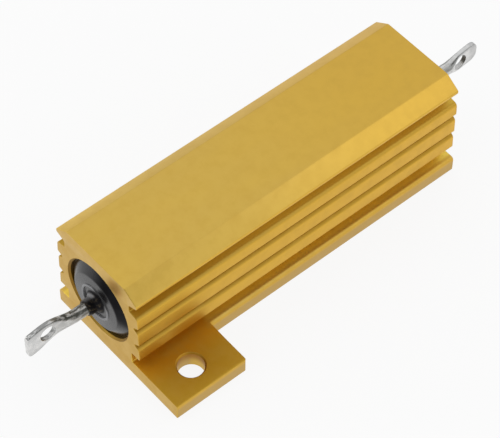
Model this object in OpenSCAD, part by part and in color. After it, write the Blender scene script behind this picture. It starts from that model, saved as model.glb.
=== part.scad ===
// Chassis-mounted wirewound power resistor in a finned aluminium housing.
// A wound ceramic core with pressed steel end caps is moulded into the bore of the housing,
// and a tinned terminal is welded to each cap. The bore runs along Y.
// The origin is on the base, midway between the two fixing holes. Sizes are in millimetres.

/* [Housing] */
// Length of the extruded body
body_l = 49.6; // [46:0.1:65]
// Width of the flat top
top_w = 10.5; // [8:0.1:12]
// Width over the two sloped shoulders
shoulder_w = 14.7; // [14:0.1:16]
// Height of the slope from the edge of each shoulder to the flat top
shoulder_drop = 1.4; // [1:0.05:1.7]
// Height of the blunt edge of each shoulder
shoulder_edge_h = 0.45; // [0.3:0.05:0.6]
// Rise of the underside of each shoulder from its root to its edge
shoulder_under_h = 0.6; // [0.2:0.05:0.9]
// Width over the side fins
fin_w = 14.9; // [14.4:0.1:16]
// Height of the lowest fin at its root
low_fin_h = 2.4; // [2.2:0.05:2.5]
// Height of the middle fin at its root
mid_fin_h = 3.2; // [3:0.05:3.3]
// Height of the top fin at its root
high_fin_h = 2.75; // [2.6:0.05:2.85]
// Height that the lower flank of a fin takes up
fin_flank_h = 1.15; // [0.8:0.05:1.4]
// Height that the underside of the lowest fin takes up
low_fin_flank_h = 0.55; // [0.3:0.05:0.8]
// Height that the upper flank of a fin takes up
fin_lip_h = 0.2; // [0.1:0.05:0.4]
// Depth of the narrow notches between the fins
notch_depth = 0.95; // [0.6:0.05:1.1]
// Depth of the wide grooves above and below the fins
groove_depth = 1.5; // [1.2:0.05:1.6]
// Height of the groove above the base
low_groove_h = 1.75; // [1.6:0.05:1.9]
// Height of the groove under the shoulders at its root
high_groove_h = 1.05; // [0.9:0.05:1.4]
// Radius on the outer edges of the fins and shoulders
fin_edge_r = 0.22; // [0.1:0.02:0.3]
// Radius at the roots of the grooves and notches
root_r = 0.2; // [0.1:0.02:0.3]
// Radius on the long edges of the flat top
top_edge_r = 0.5; // [0.2:0.1:1]

/* [Base and feet] */
// Width of the base between the feet
base_w = 15.7; // [15.2:0.1:16.4]
// Thickness of the base and the two feet
base_t = 2.3; // [2:0.05:2.5]
// Radius on the upper long edges of the base
base_edge_r = 0.45; // [0.2:0.05:0.8]
// Length of each foot along the body
foot_l = 10.4; // [9:0.1:12]
// Radius on the outer long edge of each foot
foot_edge_r = 0.3; // [0.1:0.05:1.2]
// Radius on the inner corner of each foot, seen from above
foot_corner_r = 0.3; // [0.1:0.05:1.6]
// Distance between the fixing holes across the body
hole_span_x = 21.4; // [20.8:0.1:22.4]
// Distance from the middle of each fixing hole to the outer edge of its foot
hole_to_edge = 3.55; // [3:0.05:4.5]
// Distance from the middle of each fixing hole to the end of the body
hole_to_end = 4.95; // [4:0.05:5.6]
// Diameter of the fixing holes
hole_d = 3.3; // [2.6:0.1:3.8]
// Width of the broken edge round each fixing hole
hole_break = 0.2; // [0.1:0.05:0.35]

/* [Bore and moulding] */
// Height of the bore's axis over the base
axis_h = 8.2; // [8.05:0.05:8.4]
// Diameter of the bore
bore_d = 10.8; // [10:0.1:11]
// Width of the broken edge at each end of the bore
bore_break = 0.25; // [0.1:0.05:0.3]
// Gap that the moulding leaves at the bore, as it shrinks when it cures
cure_gap = 0.02; // [0.01:0.01:0.05]
// Gap between the moulding and the parts inside it
skin_gap = 0.02; // [0.01:0.01:0.05]
// Depth of the moulding's rim inside each end face
rim_set = 0.6; // [0.2:0.05:0.8]
// Width of the flat rim between the bore and the boss
rim_w = 1.35; // [0.4:0.05:1.4]
// Diameter of the flat disc on top of the boss
disc_d = 7.8; // [6.6:0.1:8.4]
// Height of that disc over the housing's end face
disc_proud = 0.35; // [0.1:0.05:0.8]
// Width of the rounded edge of the disc
disc_edge_r = 0.2; // [0.1:0.05:0.3]
// Diameter of the raised ring on the disc
ring_d = 4.6; // [4:0.1:5.6]
// Width of the raised ring
ring_w = 0.5; // [0.3:0.05:0.8]
// Height of the raised ring
ring_h = 0.14; // [0.05:0.01:0.25]
// Diameter of the collar at the foot of each terminal
collar_d = 2.9; // [2.5:0.1:3.2]
// Height of the collar over the disc
collar_h = 0.45; // [0.2:0.05:0.8]
// Diameter of the sleeve of moulding on each terminal
sleeve_d = 2.1; // [1.9:0.05:2.4]
// Distance that the sleeve stands out from the end face
sleeve_out = 2.5; // [1.8:0.1:3.2]
// Length of the sleeve's tapered lip
sleeve_lip = 0.4; // [0.2:0.05:0.6]

/* [Wound element] */
// Diameter of the ceramic core
core_d = 5.4; // [4.5:0.1:6]
// Length of the ceramic core
core_l = 36; // [30:0.5:42]
// Width of the broken edge at each end of the core
core_break = 0.3; // [0.1:0.05:0.5]
// Diameter of the resistance wire
wire_d = 0.45; // [0.3:0.05:0.55]
// Distance between the turns of the winding
wire_pitch = 1.2; // [0.9:0.1:1.6]
// Clear space between the winding and the core
wire_gap = 0.05; // [0.05:0.01:0.1]
// Length of each end cap over the core
cap_l = 4; // [3:0.1:6]
// Wall of each end cap
cap_t = 0.4; // [0.3:0.05:0.6]
// Radial gap between an end cap and the core that it is pressed on
cap_gap = 0.01; // [0.01:0.01:0.03]

/* [Terminals] */
// Diameter of the round shank of each terminal
shank_d = 1.6; // [1.4:0.05:1.75]
// Distance from the housing's end to where the straight part of the shank ends
shank_out = 3; // [2.8:0.1:3.6]
// Length over which a shank flattens, where its lug takes no less to widen
taper_l = 3.4; // [2.6:0.1:3.8]
// Thickness of the lug
lug_t = 0.7; // [0.5:0.05:0.9]
// Radius on the long edges of the lug
lug_edge_r = 0.2; // [0.1:0.02:0.24]
// Diameter of the solder eye
eye_d = 2.1; // [1.6:0.05:2.2]
// Distance from the centre of each eye to the tip of its lug
eye_to_tip = 2.85; // [2.4:0.05:3.2]
// Distance that the front lug stands out from the housing
front_reach = 10.25; // [9.8:0.05:12]
// Distance from the housing's end to where the front shank begins to flatten
front_flat_out = 3.1; // [3:0.1:4]
// Length over which the front lug widens
front_widen_l = 6; // [3.4:0.1:6.6]
// Width of the front lug
front_w = 3.6; // [3:0.05:4]
// Height by which the middle of the front lug is bent up
front_bow = 0.6; // [-1:0.02:1]
// Height of the front lug's tip over the bore's axis
front_lift = 0; // [-0.6:0.02:0.6]
// Radius on the corners of the front lug's tip
front_tip_r = 0.5; // [0.3:0.1:1.3]
// Distance that the rear lug stands out from the housing
rear_reach = 10.4; // [10.2:0.05:12]
// Distance from the housing's end to where the rear shank begins to flatten
rear_flat_out = 5.5; // [3:0.1:5.8]
// Length over which the rear lug widens
rear_widen_l = 2.2; // [1.8:0.1:4]
// Width of the rear lug
rear_w = 2.95; // [2.8:0.05:4]
// Height by which the middle of the rear lug is bent up, negative for down
rear_bow = -0.3; // [-1:0.02:1]
// Height of the rear lug's tip over the bore's axis
rear_lift = 0.26; // [-0.6:0.02:0.6]
// Radius on the corners of the rear lug's tip
rear_tip_r = 1; // [0.3:0.1:1.3]

/* [Hidden] */

// Facets of a round surface, and steps of a rounded corner of a section
$fn = 96;
corner_steps = 4;
// Points on a quarter of the terminal's outline
quarter_steps = 6;
// How far a cutting solid passes the face that it cuts
past = 1;

end_y = body_l / 2;
bore_r = bore_d / 2;
core_r = core_d / 2;
shank_r = shank_d / 2;
hole_r = hole_d / 2;
// The flattened part of a terminal starts just inside the skin of its round shank
lofted_r = shank_r - 0.01;

// Levels of the section, from the base up
low_groove_top = base_t + low_groove_h;
low_notch_z = low_groove_top + low_fin_h;
high_notch_z = low_notch_z + mid_fin_h;
fins_top = high_notch_z + high_fin_h;
shoulder_root_z = fins_top + high_groove_h;
shoulder_bottom = shoulder_root_z + shoulder_under_h;
shoulder_top = shoulder_bottom + shoulder_edge_h;
body_h = shoulder_top + shoulder_drop;

// Half widths of the section
base_x = base_w / 2;
fin_x = fin_w / 2;
groove_x = fin_x - groove_depth;
notch_x = fin_x - notch_depth;
shoulder_x = shoulder_w / 2;
hole_x = hole_span_x / 2;
foot_x = hole_x + hole_to_edge;

// Places of the caps, counted outwards from the middle of the body
cap_rim_y = core_l / 2 - cap_l;
cap_face_y = core_l / 2 + cap_t;
cap_r = core_r + cap_gap + cap_t;

// Middle line of the wire: its flat facets dip towards the core by the second part
turn_steps = 16;
wire_sides = 6;
wire_r = wire_d / 2;
wire_mean_r = (core_r + wire_gap + wire_r) / cos(180 / turn_steps);
wound_r = wire_mean_r + wire_r;
winding_l = 2 * (cap_rim_y - wire_r - skin_gap);
turns = winding_l / wire_pitch;

gold = "#CBA445";
compound_black = "#17161A";
ceramic_white = "#E6E1D6";
wire_grey = "#8C8A86";
steel_grey = "#A9ABAD";
tin_bright = "#D5D7D8";

function unit(v) = v / norm(v);

// The middle of an angle of a section, eased into an arc that its two sides leave room for
function eased_corner(before, at, after, radius) =
    let (
        u = unit(before - at),
        v = unit(after - at),
        half = acos(u * v) / 2,
        room = 0.45 * min(norm(before - at), norm(after - at)),
        tangent = min(radius / tan(half), room),
        r = tangent * tan(half),
        centre = at + unit(u + v) * r / sin(half),
        from = at + u * tangent - centre,
        to = at + v * tangent - centre,
        start = atan2(from.y, from.x),
        turn = atan2(to.y, to.x) - start,
        sweep = turn > 180 ? turn - 360 : turn < -180 ? turn + 360 : turn
    )
    [for (i = [0 : corner_steps]) centre + r * [cos(start + sweep * i / corner_steps),
                                                sin(start + sweep * i / corner_steps)]];

// An outline from corners of the form [x, y, radius]
function eased_outline(corners) =
    let (n = len(corners))
    [for (i = [0 : n - 1])
        let (c = corners[i], b = corners[(i + n - 1) % n], a = corners[(i + 1) % n])
        each eased_corner([b.x, b.y], [c.x, c.y], [a.x, a.y], c[2])];

// One fin: its root below, then the two outer edges
function fin_corners(root_x, bottom, top, flank) = [
    [root_x, bottom, root_r],
    [fin_x, bottom + flank, fin_edge_r],
    [fin_x, top - fin_lip_h, fin_edge_r]
];

// The right half of the section from the base to the top
function half_section() = concat(
    [
        [base_x, 0, root_r],
        [base_x, base_t, base_edge_r],
        [groove_x, base_t, root_r]
    ],
    fin_corners(groove_x, low_groove_top, low_notch_z, low_fin_flank_h),
    fin_corners(notch_x, low_notch_z, high_notch_z, fin_flank_h),
    fin_corners(notch_x, high_notch_z, fins_top, fin_flank_h),
    [
        [groove_x, fins_top, root_r],
        [groove_x, shoulder_root_z, root_r],
        [shoulder_x, shoulder_bottom, fin_edge_r],
        [shoulder_x, shoulder_top, fin_edge_r],
        [top_w / 2, body_h, top_edge_r]
    ]
);

// The same corners on the left, from the top back to the base
function mirrored(corners) =
    [for (i = [len(corners) - 1 : -1 : 0]) [-corners[i].x, corners[i].y, corners[i][2]]];

// An outline in X and Z, extruded along Y about the middle of the body
module along_y(length) {
    rotate([90, 0, 0])
        translate([0, 0, -length / 2])
            linear_extrude(length)
                children();
}

// A solid of revolution or a shaft, turned from Z to lie on the bore's axis
module on_axis() {
    translate([0, 0, axis_h])
        rotate([-90, 0, 0])
            children();
}

// The extruded stick: three fins on each side under a sloped shoulder
module finned_section() {
    right = half_section();
    polygon(eased_outline(concat(right, mirrored(right))));
}

// One foot, left when the base flange is milled away: its section and its plan in one solid
module foot() {
    inner_x = groove_x - 1;
    intersection() {
        along_y(body_l)
            polygon(eased_outline([
                [inner_x, 0, 0.01],
                [foot_x, 0, root_r],
                [foot_x, base_t, foot_edge_r],
                [inner_x, base_t, 0.01]
            ]));
        linear_extrude(base_t + past)
            polygon(eased_outline([
                [0, -end_y, 0.01],
                [foot_x, -end_y, root_r],
                [foot_x, foot_l - end_y, foot_corner_r],
                [0, foot_l - end_y, 0.01]
            ]));
    }
}

// A drilled hole with the edges broken above and below
module fixing_hole() {
    translate([hole_x, hole_to_end - end_y, 0]) {
        translate([0, 0, -past])
            cylinder(r = hole_r, h = base_t + 2 * past);
        translate([0, 0, base_t - hole_break])
            cylinder(r1 = hole_r, r2 = hole_r + hole_break, h = hole_break);
        translate([0, 0, base_t])
            cylinder(r = hole_r + hole_break, h = past);
    }
}

// The bore from end to end, with its edges broken
module bore() {
    on_axis() {
        cylinder(r = bore_r, h = body_l + 2 * past, center = true);
        for (turn = [0, 180])
            rotate([turn, 0, 0])
                translate([0, 0, end_y - bore_break])
                    cylinder(r1 = bore_r, r2 = bore_r + bore_break, h = bore_break);
    }
}

module housing() {
    color(gold)
        difference() {
            union() {
                along_y(body_l)
                    finned_section();
                for (turn = [0, 180])
                    rotate([0, 0, turn])
                        foot();
            }
            bore();
            for (turn = [0, 180])
                rotate([0, 0, turn])
                    fixing_hole();
        }
}

// Half of the moulding's section, as radius and distance from the middle of the body:
// the outside from the rim to the sleeve's lip, then back inside to the end of the winding
function moulding_half() =
    let (
        rim_y = end_y - rim_set,
        disc_y = end_y + disc_proud,
        disc_r = disc_d / 2,
        ring_r = ring_d / 2,
        hole = shank_r + skin_gap,
        lip_y = end_y + sleeve_out
    )
    [
        [bore_r - cure_gap, rim_y],
        [bore_r - rim_w, rim_y],
        [disc_r, disc_y - disc_edge_r],
        [disc_r - disc_edge_r * 0.3, disc_y - disc_edge_r * 0.3],
        [disc_r - disc_edge_r, disc_y],
        [ring_r + ring_w / 2, disc_y],
        [ring_r + ring_w / 5, disc_y + ring_h],
        [ring_r - ring_w / 5, disc_y + ring_h],
        [ring_r - ring_w / 2, disc_y],
        [collar_d / 2, disc_y],
        [(collar_d * 2 + sleeve_d) / 6, disc_y + collar_h * 0.6],
        [sleeve_d / 2, disc_y + collar_h],
        [sleeve_d / 2, lip_y - sleeve_lip],
        [(hole + sleeve_d / 2) / 2, lip_y],
        [hole, lip_y],
        [hole, cap_face_y + skin_gap],
        [cap_r + skin_gap, cap_face_y + skin_gap],
        [cap_r + skin_gap, cap_rim_y],
        [wound_r + skin_gap, cap_rim_y]
    ];

module moulding() {
    half = moulding_half();
    n = len(half);
    color(compound_black)
        on_axis()
            rotate_extrude()
                polygon(concat(half, [for (i = [n - 1 : -1 : 0]) [half[i].x, -half[i].y]]));
}

module ceramic_core() {
    color(ceramic_white)
        on_axis()
            rotate_extrude()
                polygon([
                    [0, -core_l / 2],
                    [core_r - core_break, -core_l / 2],
                    [core_r, -core_l / 2 + core_break],
                    [core_r, core_l / 2 - core_break],
                    [core_r - core_break, core_l / 2],
                    [0, core_l / 2]
                ]);
}

// Rings of points joined into a closed tube, with a flat face at each end
module tube_through(rings) {
    n = len(rings[0]);
    last = len(rings) - 1;
    points = [for (ring = rings) each ring];
    sides = [
        for (k = [0 : last - 1], i = [0 : n - 1])
            let (j = (i + 1) % n, a = k * n, b = (k + 1) * n)
            each [[a + i, b + j, b + i], [a + i, a + j, b + j]]
    ];
    ends = [[for (i = [n - 1 : -1 : 0]) i], [for (i = [0 : n - 1]) last * n + i]];
    polyhedron(points, concat(sides, ends), convexity = 10);
}

// One ring of the wire, at a turn of the helix given in degrees
function wire_ring(angle) =
    let (
        out = [cos(angle), sin(angle), 0],
        along = [0, 0, 1],
        centre = wire_mean_r * out + along * (angle / 360 * wire_pitch - winding_l / 2)
    )
    [for (i = [0 : wire_sides - 1])
        centre + wire_r * (cos(360 * i / wire_sides) * out + sin(360 * i / wire_sides) * along)];

module resistance_winding() {
    steps = floor(turns * turn_steps);
    color(wire_grey)
        on_axis()
            tube_through([for (k = [0 : steps]) wire_ring(360 * turns * k / steps)]);
}

// A drawn cup pressed over one end of the core
module end_cap() {
    inner_r = core_r + cap_gap;
    color(steel_grey)
        on_axis()
            rotate_extrude()
                polygon([
                    [0, core_l / 2],
                    [inner_r, core_l / 2],
                    [inner_r, cap_rim_y],
                    [cap_r, cap_rim_y],
                    [cap_r, cap_face_y - cap_t / 2],
                    [cap_r - cap_t / 2, cap_face_y],
                    [0, cap_face_y]
                ]);
}

module end_cap_rear() {
    end_cap();
}

module end_cap_front() {
    rotate([0, 0, 180])
        end_cap();
}

function between(a, b, t) = a + (b - a) * t;
function ease(t) = let (c = max(0, min(1, t))) c * c * (3 - 2 * c);

// Height of the bent centre line: it rises by the bow at mid length and ends at the lift
function bent_at(out, reach, bow, lift) =
    let (along = ease((out - shank_out) / (reach - shank_out)))
    bow * sin(180 * along) + lift * along;

// Half the lug's width, with the corners of its tip rounded
function lug_half_w(out, reach, widened, width, tip_r) =
    let (into_tip = max(0, out - (reach - tip_r)))
    between(lofted_r, width / 2, widened) - tip_r + sqrt(max(0, tip_r * tip_r - into_tip * into_tip));

// One ring of the terminal at a distance from the end face: round, then ever flatter
function terminal_ring(out, z, half_w, flat) =
    let (
        half_t = between(lofted_r, lug_t / 2, flat),
        r = between(lofted_r, lug_edge_r, flat)
    )
    [for (q = [0 : 3], i = [0 : quarter_steps - 1])
        let (
            angle = 90 * (q + (i + 0.5) / quarter_steps),
            side = (q == 0 || q == 3) ? 1 : -1,
            top = q < 2 ? 1 : -1
        )
        [side * (half_t - r) + r * cos(angle), end_y + out, z + top * (half_w - r) + r * sin(angle)]];

// A round shank welded to the cap's face, flattened into a lug that is pierced for the wire
module terminal(reach, flat_out, widen_l, width, bow, lift, tip_r) {
    tip_from = reach - tip_r;
    flatten_l = min(taper_l, widen_l);
    outs = concat(
        [shank_out - shank_r / 2],
        [for (i = [0 : 20]) between(shank_out, tip_from, i / 20)],
        [for (i = [1 : 5]) tip_from + tip_r * sin(90 * i / 5.5)],
        [reach]
    );
    rings = [
        for (out = outs)
            terminal_ring(
                out,
                axis_h + bent_at(out, reach, bow, lift),
                lug_half_w(out, reach, ease((out - flat_out) / widen_l), width, tip_r),
                ease((out - flat_out) / flatten_l)
            )
    ];
    eye_out = reach - eye_to_tip;
    color(tin_bright)
        difference() {
            union() {
                on_axis()
                    translate([0, 0, cap_face_y])
                        cylinder(r = shank_r, h = end_y + shank_out - cap_face_y);
                tube_through(rings);
            }
            translate([0, end_y + eye_out, axis_h + bent_at(eye_out, reach, bow, lift)])
                rotate([0, 90, 0])
                    cylinder(d = eye_d, h = lug_t + 2 * past, center = true);
        }
}

module terminal_rear() {
    terminal(rear_reach, rear_flat_out, rear_widen_l, rear_w, rear_bow, rear_lift, rear_tip_r);
}

module terminal_front() {
    rotate([0, 0, 180])
        terminal(front_reach, front_flat_out, front_widen_l, front_w, front_bow, front_lift, front_tip_r);
}

housing();
moulding();
ceramic_core();
resistance_winding();
end_cap_front();
end_cap_rear();
terminal_front();
terminal_rear();
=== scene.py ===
import math

import bpy
from mathutils import Matrix


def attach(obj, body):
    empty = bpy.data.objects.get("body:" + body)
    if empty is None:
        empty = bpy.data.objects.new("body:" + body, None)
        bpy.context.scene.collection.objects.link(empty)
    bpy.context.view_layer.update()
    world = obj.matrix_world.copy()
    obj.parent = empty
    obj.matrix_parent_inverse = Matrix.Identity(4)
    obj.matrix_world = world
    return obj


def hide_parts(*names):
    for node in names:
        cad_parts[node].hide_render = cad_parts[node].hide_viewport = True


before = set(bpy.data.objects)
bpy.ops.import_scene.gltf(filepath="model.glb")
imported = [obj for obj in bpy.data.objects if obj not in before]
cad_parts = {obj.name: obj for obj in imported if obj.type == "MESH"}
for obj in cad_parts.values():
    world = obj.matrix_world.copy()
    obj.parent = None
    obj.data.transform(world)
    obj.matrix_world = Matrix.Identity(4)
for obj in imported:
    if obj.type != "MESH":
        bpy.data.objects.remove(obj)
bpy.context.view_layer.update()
MM = 0.001
# Places on the housing, and the slack in finding them: the bore's axis, the top of the base, the
# sawn ends of the body, the milled ends of the feet, and the holes
AXIS = 8.2 * MM
BASE_TOP = 2.3 * MM
BODY_END = 24.8 * MM
FOOT_END = 14.4 * MM
HOLE_X, HOLE_Y = 10.7 * MM, 19.85 * MM
SLACK = 0.01 * MM
# The fins' outer edges, upper and lower, each as x and z, and how far the CAD's rounding reaches
FIN_SIDE = 7.45 * MM
FIN_TOPS = [(side * FIN_SIDE, height * MM) for side in (-1, 1) for height in (6.25, 9.45, 12.2)]
FIN_FEET = [(side * FIN_SIDE, height * MM) for side in (-1, 1) for height in (4.6, 7.6, 10.8)]
FIN_REACH = 0.25 * MM
# How far the fins' lower edges drop, the rounding of their upper ones, and that of cut edges
FIN_DROP = 0.45 * MM
FIN_ROUNDING = 0.42 * MM
BROKEN_EDGE = 0.08 * MM
# The direction from the object to the camera, of length 1
TO_CAMERA = (0.4598, -0.39908, 0.7933)


class Wire:
    """A socket of a material. Arithmetic on it adds Math nodes to the same material."""

    def __init__(self, finish, socket):
        self.finish = finish
        self.socket = socket

    def math(self, operation, *values):
        return self.finish.add("Math", {"operation": operation}, dict(enumerate(values)))

    def __add__(self, other):
        return self.math("ADD", self, other)

    __radd__ = __add__

    def __sub__(self, other):
        return self.math("SUBTRACT", self, other)

    def __rsub__(self, other):
        return self.math("SUBTRACT", other, self)

    def __mul__(self, other):
        return self.math("MULTIPLY", self, other)

    __rmul__ = __mul__

    def __truediv__(self, other):
        return self.math("DIVIDE", self, other)

    def __pow__(self, other):
        return self.math("POWER", self, other)

    def __abs__(self):
        return self.math("ABSOLUTE", self)

    def sine(self):
        return self.math("SINE", self)

    def least(self, other):
        return self.math("MINIMUM", self, other)

    def most(self, other):
        return self.math("MAXIMUM", self, other)

    def rises(self, low, high):
        """0 below low, 1 above high and smooth between."""
        sockets = {"Value": self, "From Min": low, "From Max": high}
        return self.finish.add("MapRange", {"interpolation_type": "SMOOTHSTEP"}, sockets, "Result")


class Finish:
    """A procedural material, or the studio's world, made one node at a time."""

    def __init__(self, name, made_in=bpy.data.materials):
        self.material = made_in.new(name)
        self.material.use_nodes = True
        self.tree = self.material.node_tree
        self.tree.nodes.clear()

    def add(self, kind, settings={}, sockets={}, output=0):
        """A node of one type: its settings first, then the values or links of its sockets."""
        node = self.tree.nodes.new("ShaderNode" + kind)
        for name, value in settings.items():
            setattr(node, name, value)
        for name, value in sockets.items():
            if isinstance(value, Wire):
                self.tree.links.new(value.socket, node.inputs[name])
            else:
                node.inputs[name].default_value = value
        return None if output is None else Wire(self, node.outputs[output])

    def place(self, stretch=(1, 1, 1)):
        """Object coordinates, in metres, each axis multiplied by its stretch."""
        coordinates = self.add("TexCoord", output="Object")
        return self.add("VectorMath", {"operation": "MULTIPLY"}, {0: coordinates, 1: stretch})

    def axes(self, vector):
        """The three numbers of a vector."""
        node = self.add("SeparateXYZ", {}, {0: vector}).socket.node
        return [Wire(self, output) for output in node.outputs]

    def noise(self, vector, size, detail=2, roughness=0.5):
        """Noise whose coarsest lumps are about as wide as the size, in metres."""
        sockets = {"Vector": vector, "Scale": 1 / size, "Detail": detail, "Roughness": roughness}
        return self.add("TexNoise", {}, sockets)

    def facing(self):
        """The three numbers of the surface's own direction."""
        return self.axes(self.add("NewGeometry", output="Normal"))

    def blend(self, factor, first, second):
        """A mix of two colours, each a wire or three numbers."""
        colours = [c if isinstance(c, Wire) else (*c, 1) for c in (first, second)]
        return self.add("Mix", {"data_type": "RGBA"}, {0: factor, 6: colours[0], 7: colours[1]}, 2)

    def coats(self, colour, *coats):
        """A colour under some coats, each given as its share and its colour from 0 to 255."""
        for share, coat in coats:
            colour = self.blend(share, colour, srgb(*coat))
        return colour

    def bump(self, height, strength, distance, normal=None):
        sockets = {"Height": height, "Strength": strength, "Distance": distance}
        if normal:
            sockets["Normal"] = normal
        return self.add("Bump", {}, sockets)

    def skin(self, colour, normal, **sockets):
        """Ends the material with one shader. Other sockets are named with low lines for spaces."""
        named = {name.replace("_", " "): value for name, value in sockets.items()}
        self.surface(self.add("BsdfPrincipled", {}, {"Base Color": colour, "Normal": normal, **named}))
        return self.material

    def surface(self, shader, kind="OutputMaterial"):
        self.add(kind, {}, {"Surface": shader}, None)


def srgb(red, green, blue):
    """A colour given as 0 to 255, as light that a shader takes."""
    return tuple(
        c / 255 / 12.92 if c <= 10 else ((c / 255 + 0.055) / 1.055) ** 2.4
        for c in (red, green, blue)
    )


def away(first, second):
    """The distance that two offsets at a right angle make."""
    return (first ** 2 + second ** 2) ** 0.5


def gold_anodising():
    """Satin anodised aluminium, unevenly dyed, with die lines along the body and saw marks on its ends,
    and painted shade and painted light in its colour on the fins, grooves, feet, holes and bore.
    """
    f = Finish("gold_anodised_aluminium")
    here = f.place()
    x, y, z = f.axes(here)
    across, along, up = f.facing()
    drilled = 1 - away(abs(x) - HOLE_X, abs(y) - HOLE_Y).rises(1.72 * MM, 1.9 * MM)
    bored = 1 - away(x, z - AXIS).rises(5.66 * MM, 5.7 * MM)
    sawn = abs(along).rises(0.9, 0.99) * (1 - drilled)
    beside_foot = (0 - x * y).rises(0, 10 * MM * MM) * abs(y).rises(13.4 * MM, 15 * MM)
    foot = abs(x).rises(7.9 * MM, 8.1 * MM).most(beside_foot)
    foot = foot * up.rises(0.5, 0.9) * (1 - z.rises(2.4 * MM, 2.6 * MM))
    shoulder = abs(across).rises(0.3, 0.5) * up.rises(0.5, 0.7)
    flank = abs(across).rises(0.6, 0.95)
    finned = 1 - z.rises(13.1 * MM, 13.5 * MM)
    low = 1 - z.rises(2.5 * MM, 4 * MM)
    high = z.rises(11.4 * MM, 12 * MM)
    notched = 1 - abs(z - 8.05 * MM).rises(2.2 * MM, 2.8 * MM)
    ledge = up.rises(0.15, 0.8) * abs(x).rises(6.75 * MM, 7.05 * MM) * finned * (1 - low)
    grooved = (1 - abs(x).rises(6.9 * MM, 7.4 * MM)) * (1 - z.rises(13.4 * MM, 13.8 * MM))
    grooved = grooved * (1 - sawn) * (1 - foot)
    stain = 1 - away(x - 3.6 * MM, z - AXIS - 6.1 * MM) / (1.7 * MM)
    drift = f.noise(f.place((1, 0.3, 1)), 9 * MM, 3)
    cloud = f.noise(here, 1.6 * MM, 4, 0.6)
    dye_and_painted_light = f.coats(
        f.blend(drift.rises(0.3, 0.7), srgb(216, 180, 84), srgb(211, 176, 88)),
        # Deeper and more orange towards the far end.
        (y.rises(-15 * MM, 24 * MM) * 0.6, (214, 170, 66)),
        # Painted light: the side faces, fins among them, a deeper orange for the floor they reflect,
        # and lighter towards the far end.
        (flank * 0.6, (224, 176, 56)),
        (flank * y.rises(-14 * MM, 24 * MM) * 0.4, (236, 190, 80)),
        # Painted highlight: the sloped shoulders lighter towards the near end.
        (shoulder * (1 - y.rises(-24 * MM, -8 * MM)) * 0.5, (232, 194, 94)),
        # Painted shade: the lowest band of the side faces duller and darker, for the shadowed floor
        # close by that they reflect.
        (flank * (1 - z.rises(1.4 * MM, BASE_TOP)) * 0.6, (176, 152, 112)),
        # Painted shade: the fixing holes' walls darker towards their top.
        (drilled * z.rises(0.5 * MM, 1.9 * MM) * 0.75, (150, 92, 26)),
        # Painted shade: the feet's tops darker and deeper in tone, for the fins they reflect, deepest
        # next to the body.
        (foot * 0.85, (188, 145, 36)),
        (foot * (1 - abs(x).rises(6.6 * MM, 11.5 * MM)) * 0.6, (226, 152, 20)),
        # Painted shade and light in the grooves between the fins: a deeper tone, darker at the middle
        # notches, lighter in the lowest groove, darker under the shoulder towards the near end.
        (grooved * 0.7, (208, 172, 66)),
        (grooved * notched * 0.7, (174, 134, 42)),
        (grooved * low * 0.85, (245, 213, 94)),
        (grooved * high * (1 - y.rises(-24 * MM, -4 * MM)) * 0.45, (150, 108, 24)),
        # Painted shade: the upper shelves of the fins darker, under the fin above.
        (ledge * (0.68 - 0.3 * high), (162, 120, 34)),
        (cloud.rises(0.35, 0.75) * 0.35, (203, 164, 72)),
    )
    bare = f.coats(
        f.blend(cloud.rises(0.3, 0.7), srgb(212, 178, 104), srgb(206, 170, 92)),
        (stain.rises(0, 0.7) * 0.45, (190, 130, 44)),
    )
    lines = f.noise(f.place((1, 0.006, 1)), 0.16 * MM, 3, 0.65)
    etch = f.noise(here, 0.055 * MM, 2, 0.6)
    blade = away(z + 62 * MM, x - 30 * MM)
    teeth = (blade * (2 * math.pi / (0.22 * MM)) + cloud * 5).sine() * 0.5
    teeth = teeth + f.noise(here, 0.12 * MM, 3)
    height = (lines * 0.7 + etch * 0.35) * (1 - sawn) + teeth * 0.35 * sawn
    return f.skin(
        # Painted shade: the bore's wall darker.
        f.coats(f.blend(sawn, dye_and_painted_light, bare), (bored * (1 - sawn) * 0.75, (120, 84, 34))),
        f.bump(height, 0.35, 0.006 * MM),
        Metallic=1.0,
        Roughness=0.3 + 0.1 * cloud + 0.12 * finned + 0.1 * foot + 0.04 * sawn,
        Specular_Tint=(1, 0.96, 0.86, 1),
    )


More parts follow.
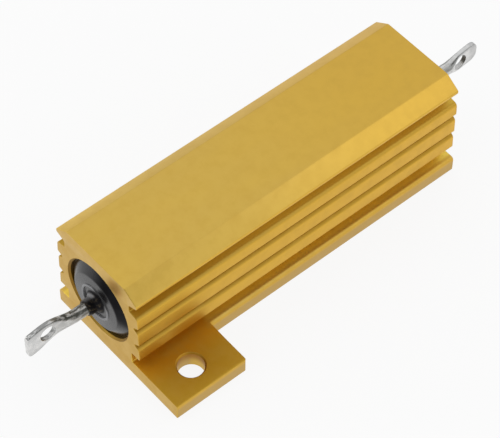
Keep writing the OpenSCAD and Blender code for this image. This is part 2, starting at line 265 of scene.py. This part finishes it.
def black_compound():
    """Moulded epoxy: glossy on its disc, with painted shade as a near-black metallic skin on the upper
    right of the recess and on the collar and sleeve, and painted highlights as light grey arcs on the
    ring and a light spot on the collar.
    """
    f = Finish("black_moulding_compound")
    here = f.place()
    x, _, z = f.axes(here)
    rise = z - AXIS
    radius = away(x, rise)
    flow = f.noise(here, 1.1 * MM, 3)
    filler = f.noise(here, 0.05 * MM, 2)
    # Painted shade: where this mask is 1, a near-black metallic, rougher skin darkens the upper right
    # of the recess's bevel, and the collar and sleeve.
    painted_shade = radius.rises(3.95 * MM, 4.1 * MM) * (x * 0.75 + rise * 0.65).rises(2.4 * MM, 3.8 * MM)
    painted_shade = painted_shade + 1 - radius.rises(1.5 * MM, 1.7 * MM)
    # Painted highlights: light grey arcs on the ring's upper left and lower right, and a light spot on
    # the collar's upper left.
    ring = radius.rises(2.1 * MM, 2.2 * MM) * (1 - radius.rises(2.42 * MM, 2.52 * MM))
    ring = ring * abs(rise * 0.57 - x * 0.82).rises(1.1 * MM, 1.7 * MM)
    collar = radius.rises(0.95 * MM, 1.1 * MM) * (1 - radius.rises(1.25 * MM, 1.4 * MM))
    collar = collar * (rise - x).rises(0.9 * MM, 1.5 * MM)
    flecks = (1 - radius.rises(1.2 * MM, 1.5 * MM)) * f.noise(here, 0.4 * MM, 3).rises(0.48, 0.66)
    colour = f.coats(
        f.blend(flow.rises(0.3, 0.7), (0.006, 0.0055, 0.0065), (0.011, 0.0105, 0.012)),
        (flecks * 0.7, (92, 82, 64)),
        ((ring + collar) * 0.6, (150, 150, 153)),
    )
    return f.skin(
        colour,
        f.bump(flow + filler * (0.03 + 0.2 * painted_shade), 0.35, 0.03 * MM),
        Metallic=(painted_shade - collar) * 0.88,
        Roughness=0.18 + 0.12 * flow + 0.25 * painted_shade,
        IOR=1.52,
    )


def white_ceramic():
    """Unglazed ceramic with a fine tooth."""
    f = Finish("white_ceramic")
    here = f.place()
    colour = f.blend(f.noise(here, 0.5 * MM, 4), srgb(226, 221, 208), srgb(240, 237, 228))
    tooth = f.noise(here, 0.06 * MM, 3)
    return f.skin(colour, f.bump(tooth, 0.4, 0.01 * MM), Roughness=0.55 + 0.15 * tooth)


def resistance_wire():
    """Drawn alloy wire, slightly oxidised."""
    f = Finish("resistance_wire")
    here = f.place()
    oxide = f.noise(here, 0.7 * MM, 3)
    drawn = f.noise(here, 0.06 * MM, 2)
    colour = f.blend(oxide, srgb(168, 158, 144), srgb(120, 108, 96))
    return f.skin(colour, f.bump(drawn, 0.3, 0.006 * MM), Metallic=1.0, Roughness=0.28 + 0.2 * oxide)


def cap_steel():
    """Nickel plated steel with the lines of its drawing die."""
    f = Finish("cap_steel")
    drawn = f.noise(f.place((1, 0.04, 1)), 0.09 * MM, 3)
    cloud = f.noise(f.place(), 1.2 * MM, 3)
    colour = f.blend(cloud, srgb(204, 203, 199), srgb(182, 181, 178))
    return f.skin(colour, f.bump(drawn, 0.3, 0.006 * MM), Metallic=1.0, Roughness=0.2 + 0.14 * cloud)


def tinned_copper():
    """Hot dipped tin: bright on the blade and darker along its edges, with painted dark streaks where
    the shank ends and painted shade on the eye's wall.
    """
    f = Finish("tinned_terminal")
    _, y, z = f.axes(f.place())
    across, _, up = f.facing()
    ripple = f.noise(f.place((1, 0.55, 1)), 1.7 * MM, 2, 0.4)
    frost = f.noise(f.place(), 0.7 * MM, 3)
    grain = f.noise(f.place((1, 0.3, 1)), 0.12 * MM, 2)
    streak = f.noise(f.place((1, 0.35, 1)), 0.5 * MM, 4, 0.65)
    rear = y.rises(-MM, MM)
    root = (1 - abs(y).rises(30.2 * MM, 32.2 * MM)) * (1 - 0.7 * rear)
    edge = (abs(across) * abs(up)).rises(0.25, 0.45)
    past_eye = abs(y) - 32.2 * MM - rear * 0.15 * MM
    eye = away(past_eye, z - 8.73 * MM + rear * 0.61 * MM)
    wall = (1 - eye.rises(1.12 * MM, 1.22 * MM)) * (1 - abs(across).rises(0.5, 0.85))
    rim = abs(z - 8.3 * MM).rises(0.7 * MM, 1.6 * MM) * abs(y).rises(29 * MM, 31 * MM)
    rim = rim * abs(across).rises(0.5, 0.9)
    blotch = up.rises(0.4, 0.8) * abs(y).rises(29.5 * MM, 31 * MM) * (1 - rear)
    blotch = blotch * streak.rises(0.4, 0.55)
    colour = f.coats(
        f.blend(frost.rises(0.35, 0.7), srgb(221, 220, 218), srgb(204, 204, 203)),
        (root * 0.4, (236, 236, 233)),
        (rim * 0.5, (168, 168, 168)),
        # Darker along the blade's rounded edges.
        (edge * 0.6, (120, 121, 119)),
        (blotch * 0.7, (112, 112, 110)),
        (rear * past_eye.rises(1.1 * MM, 2.2 * MM) * 0.5, (168, 168, 168)),
        # Painted reflection: dark streaks on the upward faces where the shank ends, for the black
        # moulding they reflect.
        (root * up.rises(-0.2, 0.5) * streak.rises(0.37, 0.55), (86, 87, 82)),
        # Painted shade: the eye's wall darker on its outer side.
        (wall * past_eye.rises(0.55 * MM, 0.9 * MM), (92, 92, 90)),
    )
    dull = (root + wall).least(1.0)
    bent = f.bump(ripple, 0.6, 0.22 * MM)
    return f.skin(
        colour,
        f.bump(frost * 0.6 + grain * 0.12, 0.4, 0.02 * MM, bent),
        Metallic=1 - 0.75 * dull,
        Roughness=0.16 + 0.18 * frost.rises(0.3, 0.75) + 0.2 * dull,
    )


def apply_modifier(piece, kind, **settings):
    """Adds one modifier to a piece and applies it at once."""
    bpy.context.view_layer.objects.active = piece
    modifier = piece.modifiers.new(kind.lower(), kind)
    for name, value in settings.items():
        setattr(modifier, name, value)
    bpy.ops.object.modifier_apply(modifier=modifier.name)


def taken_from(node, name):
    """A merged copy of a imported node, open for more work. The node itself isn't touched."""
    bpy.ops.object.select_all(action="DESELECT")
    piece = bpy.data.objects.new(name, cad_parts[node].data.copy())
    bpy.context.scene.collection.objects.link(piece)
    bpy.context.view_layer.objects.active = piece
    piece.select_set(True)
    bpy.ops.object.mode_set(mode="EDIT")
    bpy.ops.mesh.select_all(action="SELECT")
    bpy.ops.mesh.customdata_custom_splitnormals_clear()
    bpy.ops.mesh.remove_doubles(threshold=0.0001 * MM)
    bpy.ops.mesh.dissolve_limited(angle_limit=math.radians(0.5))
    bpy.ops.object.mode_set(mode="OBJECT")
    return piece


def select_only(piece, points=(), edges=()):
    """Selects some points or edges of a mesh, with nothing else."""
    mesh = piece.data
    for part in (mesh.vertices, mesh.edges, mesh.polygons):
        part.foreach_set("select", [False] * len(part))
    for part in (*points, *edges):
        part.select = True


def finish_piece(piece, node, material, smooth_below=35):
    """Shades a piece, gives it its material and puts it in the place of its node."""
    bpy.ops.object.select_all(action="DESELECT")
    piece.select_set(True)
    bpy.context.view_layer.objects.active = piece
    bpy.ops.object.shade_smooth_by_angle(angle=math.radians(smooth_below))
    piece.data.materials.clear()
    piece.data.materials.append(material)
    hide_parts(node)
    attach(piece, "root")


def lies_on(point, edges):
    """Whether a point of the housing lies on one of some long edges, each given as x and z."""
    return any(math.dist((point.co.x, point.co.z), edge) < FIN_REACH for edge in edges)


def lower_fins(piece):
    """The lower outer edge of each fin, which the photograph shows lower than the CAD draws it."""
    select_only(piece, [v for v in piece.data.vertices if lies_on(v, FIN_FEET)])
    bpy.ops.object.mode_set(mode="EDIT")
    bpy.ops.mesh.select_mode(type="VERT")
    bpy.ops.transform.translate(value=(0, 0, -FIN_DROP))
    bpy.ops.object.mode_set(mode="OBJECT")


def round_fins(piece):
    """The upper outer edge of each fin, which the die leaves rounder than the CAD draws it."""
    for x, z in FIN_TOPS:
        for end in (-1, 1):
            corner = (x, end * BODY_END, z)
            select_only(piece, [v for v in piece.data.vertices if math.dist(v.co, corner) < FIN_REACH])
            bpy.ops.object.mode_set(mode="EDIT")
            bpy.ops.mesh.select_mode(type="VERT")
            bpy.ops.mesh.merge(type="CENTER")
            bpy.ops.object.mode_set(mode="OBJECT")
    points = piece.data.vertices
    select_only(piece, edges=[
        edge for edge in piece.data.edges
        if all(lies_on(points[v], FIN_TOPS) for v in edge.vertices)
        and abs(points[edge.vertices[0]].co.y - points[edge.vertices[1]].co.y) > BODY_END
    ])
    bpy.ops.object.mode_set(mode="EDIT")
    bpy.ops.mesh.select_mode(type="EDGE")
    bpy.ops.mesh.bevel(offset=FIN_ROUNDING, segments=6, affect="EDGES")
    bpy.ops.object.mode_set(mode="OBJECT")


def make_housing():
    """The extrusion, with the edges that the saw and the mill left broken in a tumbler."""
    piece = taken_from("housing", "finned_housing")
    lower_fins(piece)
    round_fins(piece)
    bpy.ops.object.mode_set(mode="EDIT")
    bpy.ops.mesh.select_mode(type="EDGE")
    bpy.ops.mesh.select_all(action="DESELECT")
    bpy.ops.mesh.edges_select_sharp(sharpness=math.radians(50))
    bpy.ops.object.mode_set(mode="OBJECT")
    points = piece.data.vertices
    sharp = [edge for edge in piece.data.edges if edge.select]
    cut = [
        edge for edge in sharp
        if all(abs(points[v].co.y) > BODY_END - SLACK for v in edge.vertices)
    ]
    cut += [
        edge for edge in sharp
        if all(
            abs(abs(points[v].co.y) - FOOT_END) < SLACK and points[v].co.z > BASE_TOP - 10 * SLACK
            for v in edge.vertices
        )
    ]
    select_only(piece, edges=cut)
    bpy.ops.object.mode_set(mode="EDIT")
    bpy.ops.mesh.bevel(offset=BROKEN_EDGE, segments=3, affect="EDGES", clamp_overlap=False)
    bpy.ops.object.mode_set(mode="OBJECT")
    finish_piece(piece, "housing", gold_anodising())


def make_lug(end):
    """A terminal whose edges and eye are rounded by its coat of tin."""
    piece = taken_from("terminal_" + end, "solder_lug_" + end)
    apply_modifier(piece, "REMESH", mode="VOXEL", voxel_size=0.04 * MM)
    apply_modifier(piece, "SMOOTH", factor=0.5, iterations=14)
    finish_piece(piece, "terminal_" + end, tin, 180)


def turned_on_bore(name, section):
    """A solid turned on the bore's axis. A corner of its section is radius, along and rounding."""
    bpy.ops.object.select_all(action="DESELECT")
    start = section[0]
    bpy.ops.mesh.primitive_plane_add(size=MM, location=(start[0] * MM, start[1] * MM, AXIS))
    piece = bpy.context.object
    piece.name = name
    bpy.ops.object.transform_apply(location=True, rotation=False, scale=False)
    bpy.ops.object.mode_set(mode="EDIT")
    bpy.ops.mesh.select_mode(type="VERT")
    bpy.ops.mesh.merge(type="CENTER")
    for before, after in zip(section, section[1:]):
        step = ((after[0] - before[0]) * MM, (after[1] - before[1]) * MM, 0)
        bpy.ops.mesh.extrude_region_move(TRANSFORM_OT_translate={"value": step})
    bpy.ops.object.mode_set(mode="OBJECT")
    select_only(piece, [piece.data.vertices[0], piece.data.vertices[-1]])
    bpy.ops.object.mode_set(mode="EDIT")
    bpy.ops.mesh.edge_face_add()
    for radius, along, rounding in section:
        if rounding:
            corner = (radius * MM, along * MM, AXIS)
            bpy.ops.object.mode_set(mode="OBJECT")
            select_only(piece, [v for v in piece.data.vertices if math.dist(v.co, corner) < 0.001 * MM])
            bpy.ops.object.mode_set(mode="EDIT")
            bpy.ops.mesh.bevel(offset=rounding * MM, segments=4, affect="VERTICES")
    bpy.ops.mesh.select_all(action="SELECT")
    bpy.ops.mesh.spin(steps=128, angle=2 * math.pi, center=(0, 0, AXIS), axis=(0, 1, 0))
    bpy.ops.mesh.select_all(action="SELECT")
    bpy.ops.mesh.remove_doubles(threshold=0.0005 * MM)
    bpy.ops.mesh.normals_make_consistent(inside=False)
    bpy.ops.object.mode_set(mode="OBJECT")
    return piece


def make_moulding():
    """The moulded filling: a rim, a bevelled boss, a ring, a collar and a sleeve at each end."""
    end = [
        (5.38, 24.2, 0.06), (5.2, 24.2, 0.1), (3.95, 25.15, 0.1), (2.52, 25.15, 0.05),
        (2.44, 25.29, 0.07), (2.18, 25.29, 0.07), (2.1, 25.08, 0.05), (1.5, 25.1, 0.12),
        (1.28, 25.42, 0.1), (1.05, 25.62, 0.16), (1.05, 26.36, 0.12), (0.95, 26.7, 0.05),
        (0.82, 26.7, 0.02), (0.82, 18.42, 0), (3.13, 18.42, 0), (3.13, 14, 0), (3.3, 14, 0),
    ]
    section = end + [(radius, -along, rounding) for radius, along, rounding in reversed(end)]
    piece = turned_on_bore("moulded_filling", section)
    finish_piece(piece, "moulding", black_compound())


def make_camera():
    """The camera fitted to the photograph's straight edges."""
    camera = bpy.data.objects.new("camera", bpy.data.cameras.new("camera"))
    bpy.context.scene.collection.objects.link(camera)
    camera.data.sensor_width = 36
    camera.data.lens = 165.285
    camera.data.clip_start, camera.data.clip_end = 0.02, 10
    right, up, back = (0.64819, 0.76145, 0.00736), (-0.60699, 0.51082, 0.60879), TO_CAMERA
    turn = Matrix((right, up, back)).transposed().to_4x4()
    camera.matrix_world = Matrix.Translation((0.127182, -0.112159, 0.223673)) @ turn
    bpy.context.scene.camera = camera


def soft_box(name, place, size, power):
    """A square studio lamp that shines at the object."""
    lamp = bpy.data.lights.new(name, "AREA")
    lamp.shape, lamp.size, lamp.energy = "SQUARE", size, power
    lamp_object = bpy.data.objects.new(name, lamp)
    bpy.context.scene.collection.objects.link(lamp_object)
    lamp_object.location = place
    lamp_object.rotation_euler = (-lamp_object.location).to_track_quat("-Z", "Y").to_euler()


def make_floor():
    """A pale floor that the camera and the gloss see as white, with the object's shadow kept."""
    bpy.ops.object.select_all(action="DESELECT")
    bpy.ops.mesh.primitive_plane_add(size=4, location=(0, 0, -0.02 * MM))
    floor = bpy.context.object
    floor.name = "floor"
    f = Finish("floor")
    rays = f.add("LightPath").socket.node.outputs
    kinds = [Wire(f, rays[kind]) for kind in ("Is Camera Ray", "Is Glossy Ray", "Is Transmission Ray")]
    seen = (kinds[0] + kinds[1] + kinds[2]).least(1.0)
    paper = f.add("BsdfDiffuse", {}, {"Color": (0.9, 0.9, 0.9, 1)})
    white = f.add("Emission", {}, {"Color": (1, 1, 1, 1), "Strength": 1.0})
    f.surface(f.add("MixShader", {}, {0: seen * 0.88, 1: paper, 2: white}))
    floor.data.materials.append(f.material)


def make_world():
    """A white studio, with the dark places that gloss shows: low all round, and at the camera."""
    f = Finish("studio", bpy.data.worlds)
    way = f.add("TexCoord", output="Generated")
    at_camera = f.add("VectorMath", {"operation": "DOT_PRODUCT"}, {0: way, 1: TO_CAMERA}, "Value")
    right, forward, up = f.axes(way)
    front = (0 - forward).rises(0.55, 0.9) * (1 - up.rises(0.15, 0.45))
    light = (0.92 - 0.86 * at_camera.rises(0.87, 0.96)) * (0.7 + 0.3 * up.rises(0.05, 0.4))
    light = light * (1 - 0.75 * front) + 0.25 * right.rises(0.6, 0.95) * (1 - up.rises(0.15, 0.5))
    f.surface(f.add("Background", {}, {"Color": (0.98, 0.99, 1, 1), "Strength": light}), "OutputWorld")
    bpy.context.scene.world = f.material


make_camera()
make_floor()
make_world()
soft_box("right_light", (0.25, 0.31, 0.33), 0.25, 0.1)
soft_box("left_light", (-0.3, -0.28, 0.13), 0.12, 0.16)

tin = tinned_copper()
make_housing()
make_moulding()
make_lug("front")
make_lug("rear")
steel = cap_steel()
for node, material in {
    "ceramic_core": white_ceramic(), "resistance_winding": resistance_wire(),
    "end_cap_front": steel, "end_cap_rear": steel,
}.items():
    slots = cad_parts[node].data.materials
    slots.clear()
    slots.append(material)

bpy.context.scene.view_settings.view_transform = "Standard"
